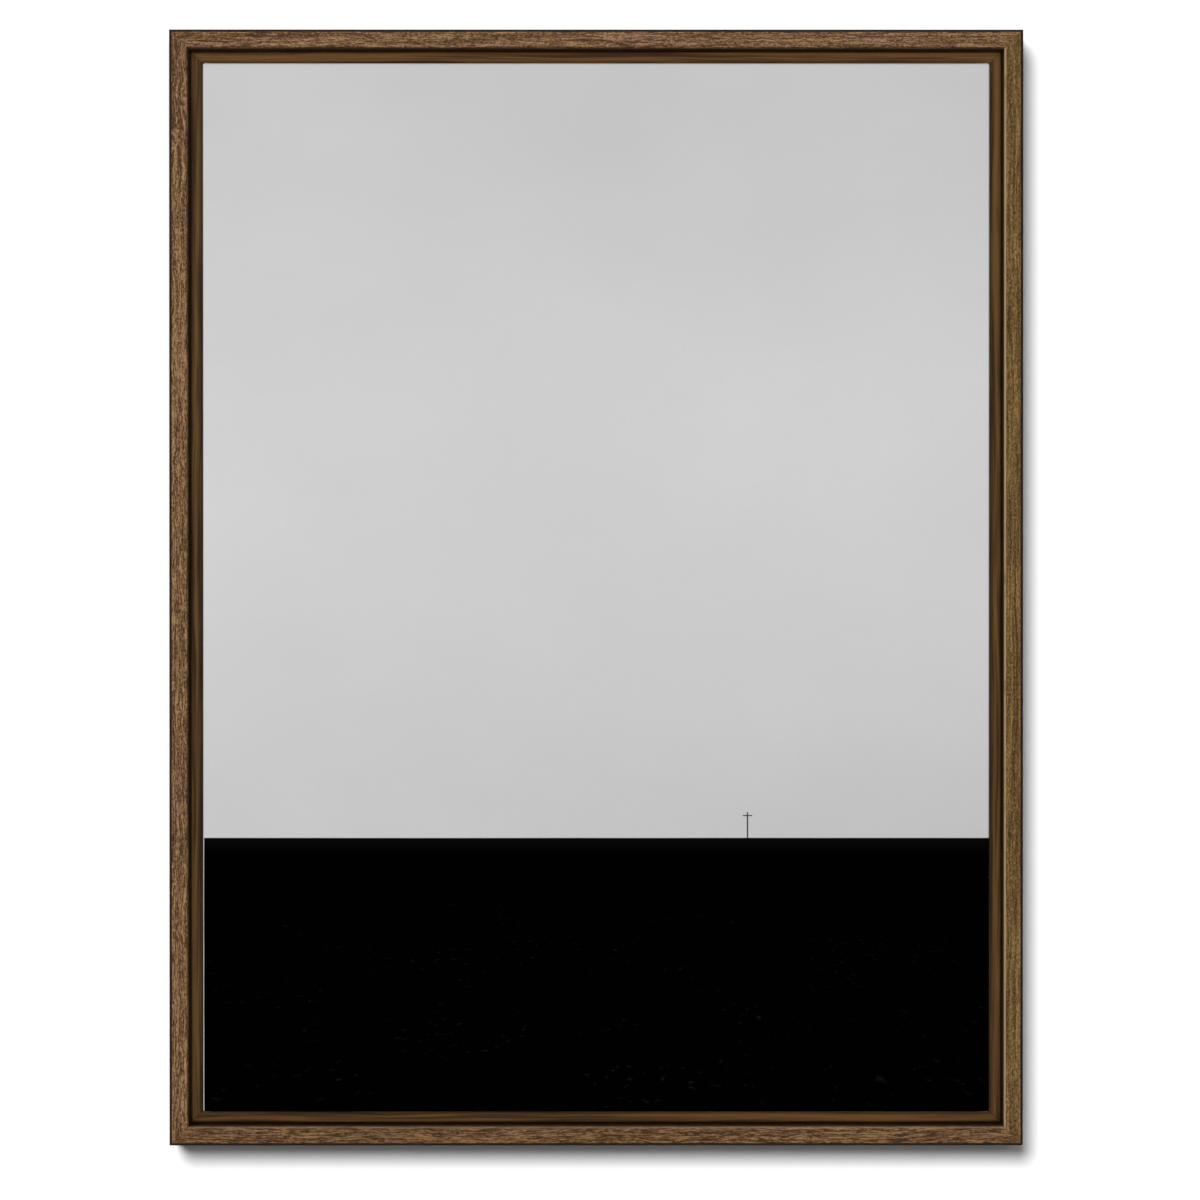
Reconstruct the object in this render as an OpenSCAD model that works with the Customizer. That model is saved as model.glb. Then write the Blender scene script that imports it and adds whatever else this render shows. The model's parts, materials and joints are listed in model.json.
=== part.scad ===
// Floating picture frame: a mitred L-section hardwood moulding with a stretched canvas
// screwed to its ledge from behind, so that an open gap runs all the way round the canvas.
// X runs along the width, +Y points into the wall and +Z is up.
// The origin is the middle of the wall plane, where the rear faces of the bumpers rest.
// Left and right are as seen from the front.

/* [Canvas] */
// Width of the stretched canvas
picture_w = 457.2; // [355.6:25.4:914.4]
// Height of the stretched canvas
picture_h = 609.6; // [508:25.4:1219.2]
// Depth of the stretched canvas, from its face to its folded back
picture_depth = 33; // [28:1:35]
// Thickness of the cloth
cloth_t = 0.5; // [0.3:0.1:0.8]
// Width of folded cloth that shows on the back, inside the ledge
hem_showing = 12; // [8:1:12]

/* [Moulding] */
// Depth of the moulding, front to back
frame_depth = 44.5; // [44:0.5:60]
// Width of the front lip
lip_w = 11; // [10:0.5:14]
// Open gap between the lip and the canvas
reveal = 8.5; // [6:0.5:10]
// Thickness of the ledge behind the canvas
ledge_t = 9; // [8.5:0.5:9]
// Full width of the moulding across its back
moulding_w = 38; // [36:1:40]
// Easing on the long edges of the lip
lip_ease = 0.8; // [0.3:0.1:1.5]

/* [Stretcher bars] */
// Width of a bar
bar_w = 38; // [36:1:50]
// Width of the raised bead that carries the cloth
bead_w = 6; // [4:1:10]
// Depth of the slope behind the bead
bar_slope = 4; // [2:0.5:6]
// Thickness of each interlocking tongue and of its key
tongue_t = 5; // [4:0.5:6]
// Length of key left showing inside the corner
key_showing = 11; // [6:1:16]

/* [Hanging hardware] */
// Drop from the top of the frame to the hinge line of the rings
hang_drop = 150; // [115:5:200]
// Diameter of the ring's wire
ring_wire = 2.6; // [2.2:0.2:2.8]
// Width of the ring between the middles of its arms
ring_w = 18; // [17:1:19]
// Width of the strap
strap_w = 11; // [9:0.5:11]
// Length of the strap below the hinge line
strap_len = 41; // [40:1:50]
// Height of the wall bumpers
bumper_h = 5; // [5:0.5:8]

/* [Fasteners] */
// Length of the canvas screws under the head
canvas_screw_len = 25; // [20:1:28]
// Distance of the canvas screws from the ends of each rail
canvas_screw_end = 85; // [75:5:90]
// Spacing between staples along a bar
staple_pitch = 55; // [40:5:90]

/* [Hidden] */
$fn = 48;
touch = 0.01;                          // overlap that joins or cuts shapes cleanly

frame_w = picture_w + 2 * (lip_w + reveal);
frame_h = picture_h + 2 * (lip_w + reveal);
ledge_cover = moulding_w - lip_w - reveal;   // width of the ledge behind the canvas
back_y = -bumper_h;                    // rear face of the moulding
ledge_y = back_y - ledge_t;            // face of the ledge, and back of the canvas
front_y = back_y - frame_depth;        // face of the lip
face_y = ledge_y - picture_depth;      // face of the canvas
back_ease = 0.5;                       // easing on the moulding's rear edges

hem_w = ledge_cover + hem_showing;     // cloth folded onto the back of the bars
wood_w = picture_w - 2 * cloth_t;      // outline of the joined stretcher bars
wood_h = picture_h - 2 * cloth_t;
bar_back_y = ledge_y - cloth_t;
bar_front_y = face_y + cloth_t;
fold_ease = 1.2;                       // chamfer where the cloth turns an edge
chamfer_creep = (sqrt(2) - 1) * cloth_t;     // shift of a 45 degree corner when thickened
bar_ease = fold_ease - cloth_t + chamfer_creep;
tongue_y = (bar_back_y + bar_front_y) / 2;   // plane where the two tongues meet
key_wide = 7;                          // key width at the bar's inner edge
key_narrow = 1.5;                      // slot width at the outside of the bar
key_grip = 30;                         // length of key inside the bar
key_nose = 1.5;                        // chamfer on the end that is struck
key_play = 0.1;                        // play on each flat side of a key

V_NAILS = [[5, 10], [25, 7]];          // bend's distance in from the corner, and height
v_nail_leg = 4.5;
v_nail_t = 0.6;
v_nail_sunk = 0.3;                     // depth the nails are driven below the wood

canvas_screw_in = ledge_cover / 2;     // in from the edge of the canvas
canvas_screw_r = 2;
canvas_screw_neck = 9;
canvas_screw_pitch = 1.8;
canvas_screw_play = 0.25;              // radial play in the ledge
staple_in = ledge_cover + hem_showing / 2;   // in from the edge of the canvas
staple_crown = 10;
staple_wire = 0.9;                     // width of the wire
staple_crown_t = 0.6;                  // thickness of the crown, pressed flat
staple_leg = 8;
staple_end = 45;                       // least distance of a staple from a corner

ring_r = ring_wire / 2;
ring_bend = 2.2;                       // bend radius between the ring's bar and its arms
ring_arm = 3;
ring_play = 0.1;                       // radial clearance in the strap's curl
ring_lean = 4;                         // angle off the strap at rest
strap_sheet = 0.75;
strap_seam = 0.1;                      // gap between the two folded layers
strap_t = 2 * strap_sheet + strap_seam;
strap_hole_r = 2.1;
curl_r = ring_r + ring_play + strap_sheet;
hinge_x = (frame_w - moulding_w) / 2;
hinge_y = back_y + curl_r;
hinge_z = frame_h / 2 - hang_drop;
strap_drops = [21, 33];                // screws' distances below the hinge line
strap_screw_r = 1.75;
strap_screw_len = 9;
strap_screw_neck = 2;
strap_screw_pitch = 1.4;
bumper_r = 6;
bumper_in = 50;                        // in from the sides of the frame

SIDES = ["top", "right", "bottom", "left"];
ENDS = [["left", "right"], ["top", "bottom"], ["right", "left"], ["bottom", "top"]];
CORNERS = ["top_right", "bottom_right", "bottom_left", "top_left"];
HANDS = [["left", -1], ["right", 1]];
ROWS = ["upper", "lower"];

// The four sides are numbered clockwise from the top. The odd ones stand upright.
function upright(i) = i % 2 == 1;
function length_of(i, w, h) = upright(i) ? h : w;
function edge_of(i, w, h) = (upright(i) ? w : h) / 2;

// Turns a shape drawn for the top side onto side i.
module on_side(i) {
    rotate([0, 90 * i, 0]) children();
}

// Extrudes a [y, z] outline along X, centred.
module along_x(length) {
    rotate([90, 0, 90]) linear_extrude(length, center = true) children();
}

// Extrudes an [x, z] outline along Y between two planes.
module along_y(from_y, to_y) {
    translate([0, to_y, 0]) rotate([90, 0, 0]) linear_extrude(to_y - from_y) children();
}

// Moves to a point on the moulding's rear face and turns z forward, into the wood.
module into_back(x, z) {
    translate([x, back_y, z]) rotate([90, 0, 0]) children();
}

// Outline of a strip with 45 degree ends, its long side at z = edge.
module mitred(length, edge, width) {
    polygon([
        [-length / 2, edge], [length / 2, edge],
        [length / 2 - width, edge - width], [-length / 2 + width, edge - width]
    ]);
}

// L section of the moulding as [y, z], its outer face at z = edge.
module moulding_section(edge) {
    inner = edge - moulding_w;
    polygon([
        [back_y, edge - back_ease], [back_y - back_ease, edge],
        [front_y + lip_ease, edge], [front_y, edge - lip_ease],
        [front_y, edge - lip_w + lip_ease], [front_y + lip_ease, edge - lip_w],
        [ledge_y, edge - lip_w],
        [ledge_y, inner + back_ease], [ledge_y + back_ease, inner],
        [back_y - back_ease, inner], [back_y, inner + back_ease]
    ]);
}

module frame_rail(i) {
    length = length_of(i, frame_w, frame_h);
    edge = edge_of(i, frame_w, frame_h);
    color("saddlebrown") difference() {
        on_side(i) intersection() {
            along_x(length) moulding_section(edge);
            along_y(front_y, back_y) mitred(length, edge, moulding_w);
        }
        for (c = [0:3]) v_nail_pair(c, v_nail_sunk + touch);
        for (e = [0, 1]) canvas_screw_hole(i, e, canvas_screw_r + canvas_screw_play);
        if (upright(i)) hanger_pilots(2 - i);
    }
}

// The folded steel nails across the mitre at corner c, counted clockwise from the top right.
// `extra` runs them on towards the back, to cut their slots.
module v_nail_pair(c, extra) {
    flip_x = c > 1 ? 1 : 0;
    flip_z = c == 1 || c == 2 ? 1 : 0;
    mirror([flip_x, 0, 0]) mirror([0, 0, flip_z]) for (n = V_NAILS) {
        x = frame_w / 2 - n[0];
        z = frame_h / 2 - n[0];
        outer = back_y - v_nail_sunk;
        along_y(outer - n[1], outer + extra) difference() {
            translate([x - v_nail_leg, z - v_nail_leg]) square(v_nail_leg);
            translate([x - v_nail_leg - 1, z - v_nail_leg - 1]) square(v_nail_leg + 1 - v_nail_t);
        }
    }
}

module v_nails(c) {
    color("lightsteelblue") v_nail_pair(c, 0);
}

// Section of a bar as [y, z]: a bead at the outer edge and a slope that clears the cloth.
module bar_section(edge) {
    polygon([
        [bar_back_y, edge - bar_ease], [bar_back_y - bar_ease, edge],
        [bar_front_y + bar_ease, edge], [bar_front_y, edge - bar_ease],
        [bar_front_y, edge - bead_w],
        [bar_front_y + bar_slope, edge - bar_w], [bar_back_y, edge - bar_w]
    ]);
}

// Outline of the layer where a bar stops short of its neighbour's tongue.
// Each shoulder slopes away from the tongue to leave a tapered slot for the key.
module shouldered(length, edge) {
    meet = length / 2 - bar_w;
    polygon([
        [-meet + key_narrow, edge], [meet - key_narrow, edge],
        [meet - key_wide, edge - bar_w], [-meet + key_wide, edge - bar_w]
    ]);
}

// The tongues of the level bars lie in front of those of the upright bars.
function tongue_from(i) = upright(i) ? tongue_y : tongue_y - tongue_t;

module stretcher_bar(i) {
    length = length_of(i, wood_w, wood_h);
    edge = edge_of(i, wood_w, wood_h);
    own = tongue_from(i);
    other = tongue_from(i + 1);
    color("burlywood") difference() {
        on_side(i) intersection() {
            along_x(length) bar_section(edge);
            union() {
                along_y(bar_front_y, tongue_y - tongue_t) mitred(length, edge, bar_w);
                along_y(tongue_y + tongue_t, bar_back_y) mitred(length, edge, bar_w);
                along_y(own, own + tongue_t)
                    translate([-length / 2, edge - bar_w]) square([length, bar_w]);
                along_y(other, other + tongue_t) shouldered(length, edge);
            }
        }
        for (e = [0, 1]) canvas_screw_hole(i, e, canvas_screw_r);
    }
}

// A wedge driven into bar i at end e, between its shoulder and the next bar's tongue.
module corner_key(i, e) {
    meet = length_of(i, wood_w, wood_h) / 2 - bar_w;
    inner = edge_of(i, wood_w, wood_h) - bar_w;
    taper = (key_wide - key_narrow) / bar_w;
    tip = meet - key_wide + taper * key_grip;
    heel = meet - key_wide - taper * (key_showing - key_nose);
    end = inner - key_showing;
    from_y = tongue_from(i + 1) + key_play;
    color("tan") on_side(i) mirror([1 - e, 0, 0])
        along_y(from_y, from_y + tongue_t - 2 * key_play) polygon([
            [meet, inner + key_grip], [tip, inner + key_grip],
            [heel, end + key_nose], [heel + key_nose, end],
            [meet - key_nose, end], [meet, end + key_nose]
        ]);
}

// Section of the folded edge of the cloth as [y, z]: face, side and hem.
module cloth_section(edge) {
    inner_ease = fold_ease + chamfer_creep;
    polygon([
        [ledge_y, edge - hem_w], [ledge_y, edge - fold_ease], [ledge_y - fold_ease, edge],
        [face_y + fold_ease, edge], [face_y, edge - fold_ease], [face_y, edge - hem_w],
        [face_y + cloth_t, edge - hem_w], [face_y + cloth_t, edge - inner_ease],
        [face_y + inner_ease, edge - cloth_t], [ledge_y - inner_ease, edge - cloth_t],
        [ledge_y - cloth_t, edge - inner_ease], [ledge_y - cloth_t, edge - hem_w]
    ]);
}

module canvas() {
    middle_w = picture_w - 2 * hem_w + 2 * touch;
    middle_h = picture_h - 2 * hem_w + 2 * touch;
    color("gainsboro") difference() {
        union() {
            for (i = [0:3]) {
                length = length_of(i, picture_w, picture_h);
                edge = edge_of(i, picture_w, picture_h);
                on_side(i) intersection() {
                    along_x(length) cloth_section(edge);
                    along_y(face_y, ledge_y) mitred(length, edge, hem_w);
                }
            }
            along_y(face_y, face_y + cloth_t) square([middle_w, middle_h], center = true);
        }
        for (i = [0:3], e = [0, 1]) canvas_screw_hole(i, e, canvas_screw_r);
    }
}

// The staples of side i, evenly spaced along the hem.
module staples(i) {
    count = floor((length_of(i, picture_w, picture_h) - 2 * staple_end) / staple_pitch) + 1;
    z = edge_of(i, picture_w, picture_h) - staple_in - staple_wire / 2;
    color("silver") on_side(i) for (k = [0:count - 1]) {
        x = (k - (count - 1) / 2) * staple_pitch - staple_crown / 2;
        translate([x, ledge_y, z]) {
            cube([staple_crown, staple_crown_t, staple_wire]);
            for (leg_x = [0, staple_crown - staple_wire])
                translate([leg_x, -staple_leg, 0])
                    cube([staple_wire, staple_leg + touch, staple_wire]);
        }
    }
}

// Outline of a wood screw's shank as [radius, depth]: plain neck, ridged thread and point.
function shank(r, length, neck, pitch) =
    let (root = 0.74 * r, thread_end = length - 2 * r)
    concat(
        [[r, 0], [r, neck]],
        [for (turn = [neck:pitch:thread_end - pitch],
              p = [[root, 0.25], [root, 0.6], [r, 0.9], [r, 1]])
            [p[0], turn + p[1] * pitch]],
        [[root, thread_end], [0, length]]
    );

// Cross-shaped driver recess, opening at z = 0.
module cross_recess(size) {
    arm = [2 * size, 0.36 * size, 2 * size];
    intersection() {
        translate([0, 0, -touch]) cylinder(r1 = size, r2 = 0.35 * size, h = 0.8 * size);
        union() {
            cube(arm, center = true);
            rotate([0, 0, 90]) cube(arm, center = true);
        }
    }
}

// Canvas screw e of side i stands on the moulding's rear face, through the ledge.
module at_canvas_screw(i, e) {
    x = (2 * e - 1) * (length_of(i, frame_w, frame_h) / 2 - canvas_screw_end);
    on_side(i) into_back(x, edge_of(i, picture_w, picture_h) - canvas_screw_in) children();
}

module canvas_screw_hole(i, e, r) {
    at_canvas_screw(i, e) translate([0, 0, -touch]) cylinder(r = r, h = canvas_screw_len + touch);
}

module canvas_screw(i, e) {
    washer_r = 5;
    washer_t = 1;
    head_r = 3.4;
    head_h = 3;
    color("dimgray") at_canvas_screw(i, e) difference() {
        rotate_extrude() polygon(concat(
            [[0, -head_h], [0.55 * head_r, -head_h], [0.9 * head_r, -0.8 * head_h],
             [head_r, -washer_t], [0.94 * washer_r, -washer_t],
             [washer_r, -0.6 * washer_t], [washer_r, 0]],
            shank(canvas_screw_r, canvas_screw_len, canvas_screw_neck, canvas_screw_pitch)
        ));
        translate([0, 0, -head_h]) cross_recess(2.4);
    }
}

module at_hanger_screw(hand, r) {
    into_back(hand * hinge_x, hinge_z - strap_drops[r]) translate([0, 0, -strap_t]) children();
}

module hanger_pilots(hand) {
    for (r = [0, 1]) at_hanger_screw(hand, r) cylinder(r = strap_screw_r, h = strap_screw_len);
}

module hanger_screw(hand, r) {
    head_r = 3.3;
    head_h = 2;
    color("silver") at_hanger_screw(hand, r) difference() {
        rotate_extrude() polygon(concat(
            [[0, -head_h], [0.6 * head_r, -head_h], [0.92 * head_r, -0.7 * head_h],
             [head_r, 0]],
            shank(strap_screw_r, strap_screw_len, strap_screw_neck, strap_screw_pitch)
        ));
        translate([0, 0, -head_h]) cross_recess(1.9);
    }
}

// A strip folded round the ring's bar, its two layers lying flat on the moulding.
module hanger_strap(hand) {
    end_r = strap_w / 2;
    color("silver") difference() {
        translate([hand * hinge_x, hinge_y, hinge_z]) intersection() {
            along_x(strap_w) difference() {
                union() {
                    circle(r = curl_r);
                    translate([-curl_r, -strap_len]) square([strap_t, strap_len]);
                }
                circle(r = ring_r + ring_play);
                translate([strap_sheet - curl_r, -strap_len - 1])
                    square([strap_seam, strap_len + 1 - curl_r]);
            }
            along_y(-curl_r, curl_r) union() {
                translate([-end_r, end_r - strap_len]) square([strap_w, strap_len]);
                translate([0, end_r - strap_len]) circle(r = end_r);
            }
        }
        for (r = [0, 1])
            at_hanger_screw(hand, r) cylinder(r = strap_hole_r, h = 3 * strap_t, center = true);
    }
}

// A length of the ring's wire bent in the XZ plane, starting at `from` degrees above +X.
module wire_bend(radius, from, angle) {
    rotate([90, 0, 0]) rotate([0, 0, from])
        rotate_extrude(angle = angle) translate([radius, 0]) circle(r = ring_r);
}

module hanger_ring(hand) {
    half = ring_w / 2;
    bar = half - ring_bend;
    color("silver") translate([hand * hinge_x, hinge_y, hinge_z]) rotate([ring_lean, 0, 0]) {
        rotate([0, 90, 0]) cylinder(r = ring_r, h = 2 * bar, center = true);
        for (x = [-half, half])
            translate([x, 0, -ring_bend - ring_arm]) cylinder(r = ring_r, h = ring_arm);
        translate([bar, 0, -ring_bend]) wire_bend(ring_bend, 0, 90);
        translate([-bar, 0, -ring_bend]) wire_bend(ring_bend, 90, 90);
        translate([0, 0, -ring_bend - ring_arm]) wire_bend(half, 180, 180);
    }
}

module wall_bumper(c) {
    x = (c < 2 ? 1 : -1) * (frame_w / 2 - bumper_in);
    z = (c == 0 || c == 3 ? 1 : -1) * (frame_h - moulding_w) / 2;
    color("black") into_back(x, z) mirror([0, 0, 1]) rotate_extrude() polygon([
        [0, 0], [bumper_r, 0], [bumper_r, 0.3 * bumper_h],
        [0.88 * bumper_r, 0.85 * bumper_h], [0.7 * bumper_r, bumper_h], [0, bumper_h]
    ]);
}

for (i = [0:3]) {
    frame_rail(i);
    v_nails(i);
    stretcher_bar(i);
    staples(i);
    wall_bumper(i);
}
for (i = [0:3], e = [0, 1]) {
    corner_key(i, e);
    canvas_screw(i, e);
}
canvas();
for (h = HANDS) {
    hanger_strap(h[1]);
    hanger_ring(h[1]);
}
for (h = HANDS, r = [0, 1])
    hanger_screw(h[1], r);
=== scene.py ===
import json
import math
import random
import bmesh
import bpy
import numpy as np
from mathutils import Matrix, Vector

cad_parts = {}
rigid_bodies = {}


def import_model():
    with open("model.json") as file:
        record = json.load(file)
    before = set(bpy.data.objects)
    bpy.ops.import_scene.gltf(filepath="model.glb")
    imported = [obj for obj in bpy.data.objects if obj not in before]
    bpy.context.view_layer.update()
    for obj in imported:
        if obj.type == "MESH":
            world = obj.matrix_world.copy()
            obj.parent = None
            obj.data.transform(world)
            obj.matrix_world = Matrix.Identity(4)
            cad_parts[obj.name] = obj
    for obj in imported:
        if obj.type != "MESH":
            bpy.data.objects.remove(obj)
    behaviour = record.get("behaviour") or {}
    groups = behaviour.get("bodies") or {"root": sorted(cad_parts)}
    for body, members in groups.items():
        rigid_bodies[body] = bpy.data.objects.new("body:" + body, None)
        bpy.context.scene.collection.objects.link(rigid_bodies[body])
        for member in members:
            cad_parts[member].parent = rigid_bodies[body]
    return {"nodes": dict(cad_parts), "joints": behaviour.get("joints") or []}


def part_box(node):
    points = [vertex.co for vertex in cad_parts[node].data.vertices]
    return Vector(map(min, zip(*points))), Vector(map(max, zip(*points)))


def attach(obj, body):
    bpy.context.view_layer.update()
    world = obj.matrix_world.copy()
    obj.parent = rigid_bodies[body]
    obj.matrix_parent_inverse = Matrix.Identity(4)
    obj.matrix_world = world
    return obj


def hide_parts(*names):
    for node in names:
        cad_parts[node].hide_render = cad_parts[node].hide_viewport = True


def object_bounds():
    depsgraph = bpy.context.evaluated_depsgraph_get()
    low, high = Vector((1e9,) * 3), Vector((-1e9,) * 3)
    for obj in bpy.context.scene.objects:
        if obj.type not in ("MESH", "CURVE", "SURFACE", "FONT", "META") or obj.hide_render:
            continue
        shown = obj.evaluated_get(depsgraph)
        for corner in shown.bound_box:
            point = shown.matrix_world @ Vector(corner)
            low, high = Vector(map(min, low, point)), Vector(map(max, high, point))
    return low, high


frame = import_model()
cadLow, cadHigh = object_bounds()
nodes = frame["nodes"]
print("frame loaded with", len(nodes), "nodes")

mm = 0.001
white = (1, 1, 1, 1)
sides = ("top", "right", "bottom", "left")
canvasLow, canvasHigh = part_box("canvas")
lipFront = cadLow.y
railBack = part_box("frame_rail_top")[1].y


class Wire:
    # one output socket; sums on it add Math nodes to its tree
    def __init__(self, tree, socket=None):
        self.tree = tree
        self.socket = socket

    def node(self, kind, settings={}, inputs={}, output=0):
        made = self.tree.nodes.new("ShaderNode" + kind)
        for name, value in settings.items():
            if name == "stops":
                self.fillRamp(made.color_ramp, value)
            else:
                setattr(made, name, value)
        for key, value in inputs.items():
            if isinstance(value, Wire):
                self.tree.links.new(value.socket, made.inputs[key])
            else:
                made.inputs[key].default_value = value
        return Wire(self.tree, made.outputs[output])

    def fillRamp(self, ramp, stops):
        while len(ramp.elements) < len(stops):
            ramp.elements.new(0.5)
        for element, (place, colour) in zip(ramp.elements, stops):
            element.position = place
            element.color = (*colour, 1)

    def sum(self, operation, *values):
        return self.node("Math", {"operation": operation}, dict(enumerate(values)))

    def __add__(self, other):
        return self.sum("ADD", self, other)

    def __radd__(self, other):
        return self.sum("ADD", other, self)

    def __sub__(self, other):
        return self.sum("SUBTRACT", self, other)

    def __rsub__(self, other):
        return self.sum("SUBTRACT", other, self)

    def __mul__(self, other):
        return self.sum("MULTIPLY", self, other)

    def __rmul__(self, other):
        return self.sum("MULTIPLY", other, self)

    def __truediv__(self, other):
        return self.sum("DIVIDE", self, other)

    def __rtruediv__(self, other):
        return self.sum("DIVIDE", other, self)

    def __pow__(self, other):
        return self.sum("POWER", self, other)

    def __abs__(self):
        return self.sum("ABSOLUTE", self)

    # 0 below low, 1 above high, eased between; low may be the larger
    def ramp(self, low, high):
        return self.node("MapRange", {"interpolation_type": "SMOOTHSTEP"}, {0: self, 1: low, 2: high})

    # 1 within reach of zero, easing to 0
    def near(self, reach, soft):
        return abs(self).ramp(reach + soft, reach)

    def most(self, other):
        return self.sum("MAXIMUM", self, other)


# camera, wall and light
studio = {
    "cameraFrom": (-0.010, -4.30, 0.030),    # a little left of and above the middle
    "cameraAim": (0.0022, -0.0071),          # x and z of the middle of the view
    "viewWidth": 0.6978,                     # seen at the face of the canvas
    "clipEnd": 40,
    "floorDrop": 1.45,
    "floorHalf": 14,
    "wallHalf": 1.8,
    "wallGap": 0.4 * mm,
    "floorPaper": (0.90, 0.90, 0.90, 1),
    "wallPaper": (0.12, 0.12, 0.12, 1),      # lit strongly by its own lights, so it shows white
    "skyLight": 0.14,
    "skySeen": 0.95,
}
lights = {   # side lean and rise per unit of depth, spread in degrees, strength at a facing white surface
    "frontLight": {"lean": 0.0, "rise": 0.0, "spread": 20, "strength": 0.45, "for": "frame"},
    "keyLight": {"lean": -0.45, "rise": 0.70, "spread": 16, "strength": 0.33, "for": "frame"},
    "backLight": {"lean": 0.5, "rise": 0.9, "spread": 60, "strength": 0.70, "for": "frame", "behind": True},
    "wallLight": {"lean": -0.154, "rise": 0.267, "spread": 15, "strength": 8.25, "for": "wall"},
    "wallFill": {"lean": 0.17, "rise": 0.10, "spread": 12, "strength": 0.90, "for": "wall"},
}


def makeCamera():
    data = bpy.data.cameras.new("camera")
    camera = bpy.data.objects.new("camera", data)
    bpy.context.scene.collection.objects.link(camera)
    camera.location = studio["cameraFrom"]
    aim = Vector((studio["cameraAim"][0], canvasLow.y, studio["cameraAim"][1]))
    toAim = aim - camera.location
    camera.rotation_euler = toAim.to_track_quat("-Z", "Y").to_euler()
    data.lens = data.sensor_width * toAim.length / studio["viewWidth"]
    data.clip_end = studio["clipEnd"]
    bpy.context.scene.camera = camera


def addPlane(name, corners, material):
    mesh = bpy.data.meshes.new(name)
    mesh.from_pydata(corners, [], [(0, 1, 2, 3)])
    plane = bpy.data.objects.new(name, mesh)
    bpy.context.scene.collection.objects.link(plane)
    mesh.materials.append(material)
    return plane


def makeStudio():
    bpy.context.scene.view_settings.view_transform = "Standard"
    paper = bpy.data.materials.new("wallPaper")
    paper.use_nodes = True
    tree = paper.node_tree
    shader = tree.nodes["Principled BSDF"]
    shader.inputs["Base Color"].default_value = studio["floorPaper"]
    shader.inputs["Roughness"].default_value = 0.9
    shader.inputs["Specular IOR Level"].default_value = 0.0
    floorPaper = paper.copy()
    shader.inputs["Base Color"].default_value = studio["wallPaper"]
    start = Wire(tree)
    clear = start.node("BsdfTransparent")        # the wall is clear from behind
    behind = start.node("NewGeometry", output="Backfacing")
    shown = start.node("MixShader", inputs={0: behind, 1: Wire(tree, shader.outputs[0]), 2: clear})
    tree.links.new(shown.socket, tree.nodes["Material Output"].inputs[0])

    low, half, y = -studio["floorDrop"], studio["wallHalf"], studio["wallGap"]
    wall = addPlane("wall", [(-half, y, low), (half, y, low), (half, y, half), (-half, y, half)], paper)
    for ray in ("visible_shadow", "visible_diffuse", "visible_glossy"):
        setattr(wall, ray, False)
    far = studio["floorHalf"]
    addPlane("floor", [(-far, -far, low), (far, -far, low), (far, far, low), (-far, far, low)], floorPaper)
    return wall


def makeLights(wall):
    wallOnly = bpy.data.collections.new("wallOnly")
    wallOnly.objects.link(wall)
    allButWall = bpy.data.collections.new("allButWall")
    for name, look in lights.items():
        data = bpy.data.lights.new(name, "SUN")
        data.energy = look["strength"] * math.pi
        data.angle = math.radians(look["spread"])
        light = bpy.data.objects.new(name, data)
        bpy.context.scene.collection.objects.link(light)
        depth = 1 if look.get("behind") else -1
        fromWhere = Vector((look["lean"], depth, look["rise"]))
        light.rotation_euler = fromWhere.to_track_quat("Z", "Y").to_euler()
        if look["for"] == "wall":
            light.light_linking.receiver_collection = wallOnly
        else:
            light.light_linking.receiver_collection = allButWall
    return allButWall


def makeWorld():
    world = bpy.data.worlds.new("studioWorld")
    bpy.context.scene.world = world
    world.use_nodes = True
    tree = world.node_tree
    start = Wire(tree)
    lit = start.node("Background", inputs={"Color": white, "Strength": studio["skyLight"]})
    seen = start.node("Background", inputs={"Color": white, "Strength": studio["skySeen"]})
    toCamera = start.node("LightPath", output="Is Camera Ray")
    shown = start.node("MixShader", inputs={0: toCamera, 1: lit, 2: seen})
    tree.links.new(shown.socket, tree.nodes["World Output"].inputs[0])


makeCamera()
litPieces = makeLights(makeStudio())
makeWorld()
print("camera, wall and lights made")


# material helpers
def startMaterial(name):
    material = bpy.data.materials.new(name)
    material.use_nodes = True
    shader = material.node_tree.nodes["Principled BSDF"]
    return material, shader, Wire(material.node_tree)


def connect(wire, shader, name):
    wire.tree.links.new(wire.socket, shader.inputs[name])


def place(wire):     # x, y and z of the surface, in metres
    at = wire.node("TexCoord", output="Object")
    return [at.node("SeparateXYZ", inputs={0: at}, output=i) for i in range(3)]


def point(x, y, z):
    wire = next(part for part in (x, y, z) if isinstance(part, Wire))
    return wire.node("CombineXYZ", inputs={0: x, 1: y, 2: z})


def noiseAt(at, detail=2.0, roughness=0.5, scale=1.0):
    inputs = {"Vector": at, "Scale": scale, "Detail": detail, "Roughness": roughness}
    return at.node("TexNoise", inputs=inputs)


def cellsAt(at, jitter=1.0):    # distance to the nearest of scattered points
    return at.node("TexVoronoi", inputs={"Vector": at, "Scale": 1.0, "Randomness": jitter})


def mixColour(amount, first, second, blend="MIX"):
    wire = next(part for part in (amount, first, second) if isinstance(part, Wire))
    settings = {"data_type": "RGBA", "blend_type": blend}
    return wire.node("Mix", settings, {0: amount, 6: first, 7: second}, output=2)


def dim(colour, shade):     # multiplies a colour by a grey
    return mixColour(1.0, colour, point(shade, shade, shade), "MULTIPLY")


def bumpFrom(height, strength, distance):
    return height.node("Bump", inputs={"Strength": strength, "Distance": distance, "Height": height})


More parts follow.
